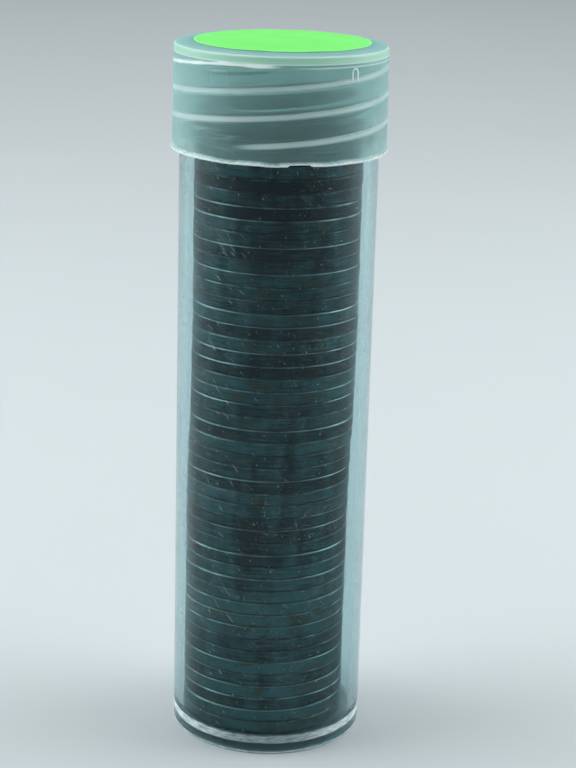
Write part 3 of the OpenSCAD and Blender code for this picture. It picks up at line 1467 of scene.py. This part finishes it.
@dataclass
class CoinDesign:
    """A plain made-up design: a star in a ring of leaves inside a border of beads."""

    star_r: float = 3.1
    star_inner_share: float = 0.42
    star_h: float = 0.12
    leaf_r: float = 5.9
    leaf_length: float = 0.95
    leaf_width: float = 0.36
    leaf_h: float = 0.09
    leaves: int = 26
    bead_r: float = 8.0
    bead_size: float = 0.24
    bead_h: float = 0.08
    beads: int = 72
    star_slope: float = 0.14
    leaf_lean: float = 0.5
    leaf_stray: float = 0.45
    vein_h: float = 0.02
    vein_w: float = 0.08

    def height(self, radius: float, angle: float) -> float:
        """The relief's height over the field, at a radius in millimetres and an angle in radians."""
        return max(self.star(radius, angle), self.leaf(radius, angle), self.bead(radius, angle))

    def star(self, radius: float, angle: float) -> float:
        """The faceted star in the middle.

        Args:
            radius: Distance from the coin's middle, in millimetres.
            angle: Direction, in radians.

        Returns:
            Its height.
        """
        if radius > self.star_r:
            return 0.0
        sector = math.pi / 5
        folded = abs((angle + sector) % (2 * sector) - sector)
        tip = Vector((self.star_r, 0.0))
        notch = Vector((math.cos(sector), math.sin(sector))) * self.star_r * self.star_inner_share
        side = (notch - tip).normalized()
        place = Vector((math.cos(folded), math.sin(folded))) * radius
        inside = (place - tip).x * side.y - (place - tip).y * side.x
        return min(self.star_h, max(0.0, abs(inside) * self.star_slope if inside > 0 else 0.0))

    def leaf(self, radius: float, angle: float) -> float:
        """One of the leaves of the ring, which lean out and in by turns.

        Args:
            radius: Distance from the coin's middle, in millimetres.
            angle: Direction, in radians.

        Returns:
            Its height.
        """
        best = 0.0
        step = 2 * math.pi / self.leaves
        nearest = round(angle / step)
        for k in (nearest - 1, nearest, nearest + 1):
            side = 1 if k % 2 else -1
            lean = side * self.leaf_lean
            around = (angle - k * step) * self.leaf_r
            out = radius - self.leaf_r - side * self.leaf_stray
            along = around * math.cos(lean) + out * math.sin(lean)
            across = -around * math.sin(lean) + out * math.cos(lean)
            share = (along / self.leaf_length) ** 2 + (across / self.leaf_width) ** 2
            if share < 1:
                vein = self.vein_h * eased(abs(across), 0.0, self.vein_w)
                best = max(best, (self.leaf_h - self.vein_h) * math.sqrt(1 - share) + vein * (1 - share))
        return best

    def bead(self, radius: float, angle: float) -> float:
        """One of the beads of the border.

        Args:
            radius: Distance from the coin's middle, in millimetres.
            angle: Direction, in radians.

        Returns:
            Its height.
        """
        step = 2 * math.pi / self.beads
        around = (angle - round(angle / step) * step) * self.bead_r
        share = (around**2 + (radius - self.bead_r) ** 2) / self.bead_size**2
        return self.bead_h * math.sqrt(1 - share) if share < 1 else 0.0


@dataclass
class CoinPile:
    """The cents in the tube, each in the place that its solid has."""

    radius: float = 9.525
    thickness: float = 1.49
    rim: float = 0.85
    field: float = 0.14
    plain_segments: int = 88
    struck_segments: int = 240
    face_step: float = 0.13
    edges: tuple[float, ...] = (0.13, 0.17, 0.21)
    count: int = 49
    crown: float = 0.02
    plain_step: float = 4.2
    # Strength of the painted highlight on upper edges and of the painted gap shade.
    edge_light_and_shade: float = 0.9
    rim_shine: float = 0.45
    design_shine: float = 0.7
    shine_tilt: float = 60.0

    def outline(self, edge: float, step: float) -> list[Point]:
        """A coin's closed outline, with its underside first.

        Args:
            edge: Rounding of its outer edges.
            step: Distance between the rings on its fields.

        Returns:
            The outline.
        """
        inner = self.radius - self.rim
        bank = inner - 1.5 * self.field
        low = [
            *run((0.0, self.field), (bank, self.field), step),
            (inner, 0.015),
            (inner + self.rim * 0.35, 0.0),
            (self.radius - edge - self.crown, 0.0),
            *arc((self.radius - edge, edge), edge, -90.0, 90.0, 4),
            (self.radius, edge + self.crown),
        ]
        high = [(radius, self.thickness - height) for radius, height in reversed(low)]
        return [*low, *high]

    def coin(self, name: str, edge: float, strike: Strike) -> bpy.types.Mesh:
        """Makes one coin that lies on the origin.

        Args:
            name: The mesh's name.
            edge: Rounding of its outer edges.
            strike: Which face carries the design.

        Returns:
            The mesh.
        """
        plain = strike is Strike.NONE
        segments = self.plain_segments if plain else self.struck_segments
        mesh = turned_mesh(name, self.outline(edge, self.plain_step if plain else self.face_step), segments)
        # Wear, painted edge highlights and painted gap shade.
        mark(mesh, "worn", lambda p: self.worn(p, edge))
        if plain:
            return mesh
        design = CoinDesign()
        upper = strike is Strike.UPPER

        def struck(place: Vector) -> Vector:
            """Raises the design from one face.

            Args:
                place: A place in millimetres.

            Returns:
                Where it moves.
            """
            field = self.thickness - self.field if upper else self.field
            if abs(place.z - field) > 0.005:
                return place
            relief = design.height(place.xy.length, math.atan2(place.y, place.x))
            return Vector((place.x, place.y, place.z + (relief if upper else -relief)))

        reshape(mesh, struck)
        layer = mesh.attributes["worn"]
        field = self.thickness - self.field if upper else self.field
        for vertex, cell in zip(mesh.vertices, layer.data):
            raised = abs(vertex.co.z / MM - field)
            if vertex.co.xy.length / MM < self.radius - self.rim and (vertex.co.z / MM > 0.7) == upper:
                cell.value = max(cell.value, self.design_shine * eased(raised, 0.03, 0.12))
        return mesh

    def worn(self, place: Vector, edge: float) -> float:
        """How bright handling has made a place on a coin, with a painted highlight on each upper edge, and
        below zero the painted shade in the gaps between coins.

        Args:
            place: A place in millimetres.
            edge: Rounding of the coin's outer edges.

        Returns:
            The wear and painted light, from -1 to 1.
        """
        above = self.thickness - place.z
        out = place.xy.length - (self.radius - edge)
        if out > 0.0:
            if above < edge:
                # Upper edge: painted highlight on its outer part, painted shade towards the gap above.
                tilt = math.degrees(math.atan2(edge - above, out))
                gap_shade_above = -self.edge_light_and_shade * eased(tilt, self.shine_tilt, 85.0)
                return self.edge_light_and_shade if tilt < self.shine_tilt else gap_shade_above
            # Lower edge: painted shade towards the gap below.
            tilt = math.degrees(math.atan2(edge - place.z, out))
            return -self.edge_light_and_shade * eased(tilt, 5.0, 45.0) if place.z < edge else 0.0
        on_rim = self.radius - self.rim < place.xy.length and min(above, place.z) < 0.01
        return self.rim_shine if on_rim else 0.0

    def tree(self) -> GeometryTree:
        """Makes the tree that lays coins on points, each turned and toned by chance.

        Returns:
            The tree.
        """
        tree = GeometryTree(
            "coin_pile",
            {
                "Coins": "NodeSocketCollection",
                "Largest Turn": "NodeSocketFloat",
                "Seed": "NodeSocketInt",
                "Material": "NodeSocketMaterial",
            },
        )
        kinds = tree.node(
            "GeometryNodeCollectionInfo",
            {"transform_space": "ORIGINAL"},
            {
                "Collection": tree.pick(tree.entry.outputs, "Coins"),
                "Separate Children": True,
                "Reset Children": True,
            },
        )
        seed = tree.given("Seed")
        turn = tree.chance("FLOAT", 0.0, tree.given("Largest Turn"), seed)
        which = tree.chance("INT", 0, len(self.edges) - 1, seed + 1)
        tone = tree.chance("FLOAT", 0.0, 1.0, seed + 2)
        lie = tree.node("ShaderNodeCombineXYZ", {}, {2: turn})
        laid = tree.node(
            "GeometryNodeInstanceOnPoints",
            {},
            {
                "Points": tree.pick(tree.entry.outputs, "Geometry"),
                "Instance": kinds.outputs[0],
                "Pick Instance": True,
                "Instance Index": which,
                "Rotation": lie.outputs[0],
            },
        )
        toned = tree.store(laid.outputs[0], "coin_tone", tone, "INSTANCE")
        tree.end(toned)
        return tree

    def laid(
        self, name: str, numbers: list[int], strike: Strike, body: Body, metal: bpy.types.Material
    ) -> bpy.types.Object:
        """Lays coins where their solids are, as one piece.

        Args:
            name: The piece's name.
            numbers: The coins' numbers, counted from the floor.
            strike: Which face carries the design.
            body: The body that they ride on.
            metal: Their material.

        Returns:
            The piece.
        """
        nodes = [f"coin_{n:02d}" for n in numbers]
        boxes = [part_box(n) for n in nodes]
        points = [((low.x + high.x) / 2, (low.y + high.y) / 2, low.z) for low, high in boxes]
        kinds = bpy.data.collections.new(f"{name}_kinds")
        for k, edge in enumerate(self.edges):
            mesh = self.coin(f"{name}_kind_{k}", edge, strike)
            kinds.objects.link(bpy.data.objects.new(mesh.name, mesh))
        mesh = bpy.data.meshes.new(name)
        mesh.from_pydata(points, [], [])
        piece = shown(name, mesh)
        values = {"Coins": kinds, "Largest Turn": 2 * math.pi, "Seed": numbers[0], "Material": metal}
        self.tree().applied(piece, values)
        for kind in list(kinds.objects):
            bpy.data.objects.remove(kind)
        bpy.data.collections.remove(kinds)
        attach(piece, body.value)
        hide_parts(*nodes)
        return piece

    def build(self, metal: bpy.types.Material) -> list[bpy.types.Object]:
        """Makes all the coins.

        Args:
            metal: The coins' material.

        Returns:
            The lowest coin, the pile over it and the highest coin.
        """
        return [
            self.laid("lowest_coin", [1], Strike.LOWER, Body.LOWEST_COIN, metal),
            self.laid("coin_pile", list(range(2, self.count)), Strike.NONE, Body.COINS, metal),
            self.laid("highest_coin", [self.count], Strike.UPPER, Body.COINS, metal),
        ]


@dataclass(frozen=True)
class Lamp:
    """One soft rectangular light, in metres."""

    name: str
    place: Colour
    aim: Colour
    size: Point
    glow: float
    colour: Colour = (0.93, 0.98, 1.0)

    def build(self) -> None:
        """Adds the lamp, whose face is as bright as its glow says."""
        data = bpy.data.lights.new(self.name, "AREA")
        data.shape = "RECTANGLE"
        data.size, data.size_y = self.size
        data.energy = self.glow * math.pi * self.size[0] * self.size[1]
        data.color = self.colour
        lamp = shown(self.name, data)
        lamp.location = self.place
        lamp.rotation_euler = (Vector(self.aim) - Vector(self.place)).to_track_quat("-Z", "Y").to_euler()


@dataclass
class Studio:
    """The camera, the floor and the lights."""

    lens: float = 90.78
    camera_place: Colour = (0.0, -216.1, 108.15)
    pitch: float = 0.2968
    roll: float = 0.0269
    yaw: float = 0.0079
    floor_size: float = 8.0
    floor_drop: float = 0.00002
    sensor: float = 36.0
    clip: Point = (0.01, 50.0)
    bounces: int = 24
    glossy_bounces: int = 8
    open_bounces: int = 32
    surround: Colour = (0.80, 0.90, 0.95)
    surround_strength: float = 0.22
    lamps: tuple[Lamp, ...] = (
        Lamp("soft_top", (0.0, 0.50, 1.05), (0.0, 0.40, 0.0), (1.6, 1.2), 1.9),
        Lamp("soft_left", (-0.36, 0.02, 0.22), (-0.08, 0.0, 0.04), (0.36, 0.30), 3.6),
        Lamp("soft_right", (0.36, 0.06, 0.20), (0.10, 0.0, 0.02), (0.36, 0.30), 3.2),
        Lamp("over_left", (-0.48, -0.06, 0.92), (0.0, -0.04, 0.02), (0.45, 0.45), 2.3),
        Lamp("over_right", (0.48, -0.06, 0.92), (0.0, -0.04, 0.02), (0.45, 0.45), 1.9),
    )

    def add_camera(self) -> None:
        """Adds the camera at the photograph's viewing angle."""
        forward = Vector(
            (
                math.sin(self.yaw) * math.cos(self.pitch),
                math.cos(self.yaw) * math.cos(self.pitch),
                -math.sin(self.pitch),
            )
        )
        level = Vector((math.cos(self.yaw), -math.sin(self.yaw), 0.0))
        above = level.cross(forward)
        right = math.cos(self.roll) * level + math.sin(self.roll) * above
        up = -math.sin(self.roll) * level + math.cos(self.roll) * above
        data = bpy.data.cameras.new("photograph_view")
        data.lens = self.lens
        data.sensor_width = self.sensor
        data.clip_start, data.clip_end = self.clip
        camera = shown("photograph_view", data)
        turn = Matrix((right, up, -forward)).transposed().to_4x4()
        camera.matrix_world = Matrix.Translation(Vector(self.camera_place) * MM) @ turn
        bpy.context.scene.camera = camera

    def add_floor(self) -> None:
        """Adds the pale floor just under the tube's foot."""
        half = self.floor_size / 2
        mesh = bpy.data.meshes.new("floor")
        corners = [(-half, -half), (half, -half), (half, half), (-half, half)]
        mesh.from_pydata([(x, y, -self.floor_drop) for x, y in corners], [], [(0, 1, 2, 3)])
        mesh.materials.append(StudioFloor().build())
        shown("floor", mesh)

    def add_lights(self) -> None:
        """Adds the soft lights and a dim surround."""
        for lamp in self.lamps:
            lamp.build()
        world = bpy.data.worlds.new("dim_surround")
        world.use_nodes = True
        sky = world.node_tree.nodes["Background"]
        sky.inputs["Color"].default_value = (*self.surround, 1.0)
        sky.inputs["Strength"].default_value = self.surround_strength
        bpy.context.scene.world = world

    def build(self) -> None:
        """Makes the whole stage."""
        self.add_camera()
        self.add_floor()
        self.add_lights()
        scene = bpy.context.scene
        scene.view_settings.view_transform = "Standard"
        scene.cycles.transparent_max_bounces = self.open_bounces
        scene.cycles.max_bounces = self.bounces
        scene.cycles.transmission_bounces = self.bounces
        scene.cycles.glossy_bounces = self.glossy_bounces


def main() -> None:
    """Builds the stage and the pieces in order."""
    logging.basicConfig(level=logging.INFO, format="%(message)s")
    Studio().build()
    thread = ScrewThread()
    milky = MilkyPolyethylene().build()
    cap = ScrewCap()
    made = [
        ClearTube().build(thread, ClearStyrene().build()),
        cap.build(thread, milky),
        cap.mould_marks(milky),
        PaperLabel().build(BrightPaper().build()),
        *CoinPile().build(TonedSteel().build()),
    ]


if __name__ == "__main__":
    main()
